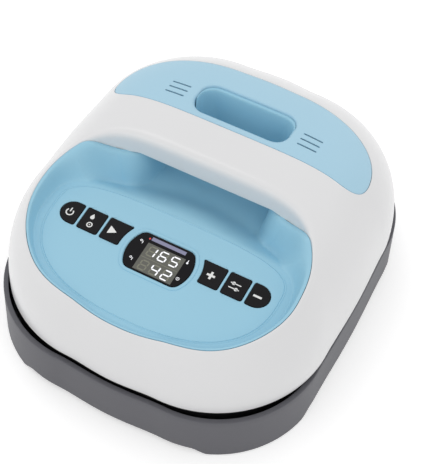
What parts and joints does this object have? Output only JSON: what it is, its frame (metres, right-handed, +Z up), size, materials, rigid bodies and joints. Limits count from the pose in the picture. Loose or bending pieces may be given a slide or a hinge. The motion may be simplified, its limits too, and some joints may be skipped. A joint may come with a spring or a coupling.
{
  "type": "handheld heat press",
  "caption": "Domed handheld heat press with a bridge handle, a scooped control panel with keys and a round display, and a separate base tray.",
  "frame": {"origin": "on the ground, under the middle of the base tray", "axes": "+Z up, +Y from the control panel to the rear cover, +X to the right of a user who faces the controls"},
  "size_m": [0.3044, 0.3544, 0.1653],
  "materials": {
    "white_shell": "glossy",
    "blue_panel": "satin",
    "blue_cover": "satin",
    "grey_tray": "satin",
    "black_housing": "satin",
    "black_key": "matte",
    "black_lens": "glossy",
    "rubber": "matte",
    "silicone": "matte",
    "fibre": "matte",
    "plate_aluminium": "satin",
    "steel": "satin",
    "circuit_board": "satin",
    "dark_component": "satin"
  },
  "bodies": {
    "base": {"base_tray": "grey_tray", "rubber_foot_1": "rubber", "rubber_foot_2": "rubber", "rubber_foot_3": "rubber", "rubber_foot_4": "rubber", "rest_strip_1": "silicone", "rest_strip_2": "silicone", "insulating_mat": "fibre"},
    "press": {"upper_housing": "white_shell", "handle_underside": "white_shell", "handle_screw_1": "steel", "handle_screw_2": "steel", "control_panel": "blue_panel", "rear_cover": "blue_cover", "lower_housing": "black_housing", "housing_screw_1": "steel", "housing_screw_2": "steel", "housing_screw_3": "steel", "housing_screw_4": "steel", "housing_screw_5": "steel", "housing_screw_6": "steel", "cord_gland": "black_housing", "heat_plate": "plate_aluminium", "heating_element": "steel", "insulation_blanket": "fibre", "heat_shield": "steel", "plate_post_1": "steel", "plate_post_2": "steel", "plate_post_3": "steel", "plate_post_4": "steel", "plate_screw_1": "steel", "plate_screw_2": "steel", "plate_screw_3": "steel", "plate_screw_4": "steel", "thermal_cutout": "dark_component", "temperature_sensor": "steel", "power_board": "circuit_board", "board_screw_1": "steel", "board_screw_2": "steel", "board_screw_3": "steel", "board_screw_4": "steel", "transformer": "dark_component", "relay": "dark_component", "terminal_block": "dark_component", "capacitor": "dark_component", "fuse": "steel", "display_lens": "black_lens", "display_module": "dark_component", "control_board": "circuit_board", "control_screw_1": "steel", "control_screw_2": "steel", "control_screw_3": "steel", "control_screw_4": "steel"},
    "key_power": {"key_power": "black_key"},
    "key_mode": {"key_mode": "black_key"},
    "key_start": {"key_start": "black_key"},
    "key_plus": {"key_plus": "black_key"},
    "key_set": {"key_set": "black_key"},
    "key_minus": {"key_minus": "black_key"}
  },
  "joints": [
    {"name": "press_lift", "type": "slide", "parent": "base", "child": "press", "axis": [0, 0, 1], "range_m": [0, 0.08]},
    {"name": "key_power_push", "type": "slide", "parent": "press", "child": "key_power", "axis": [0, 0.0797, -0.9968], "range_m": [0, 0.0005], "stiffness_N_per_m": 800},
    {"name": "key_mode_push", "type": "slide", "parent": "press", "child": "key_mode", "axis": [0, 0.0797, -0.9968], "range_m": [0, 0.0005], "stiffness_N_per_m": 800},
    {"name": "key_start_push", "type": "slide", "parent": "press", "child": "key_start", "axis": [0, 0.0797, -0.9968], "range_m": [0, 0.0005], "stiffness_N_per_m": 800},
    {"name": "key_plus_push", "type": "slide", "parent": "press", "child": "key_plus", "axis": [0, 0.0797, -0.9968], "range_m": [0, 0.0005], "stiffness_N_per_m": 800},
    {"name": "key_set_push", "type": "slide", "parent": "press", "child": "key_set", "axis": [0, 0.0797, -0.9968], "range_m": [0, 0.0005], "stiffness_N_per_m": 800},
    {"name": "key_minus_push", "type": "slide", "parent": "press", "child": "key_minus", "axis": [0, 0.0797, -0.9968], "range_m": [0, 0.0005], "stiffness_N_per_m": 800}
  ]
}
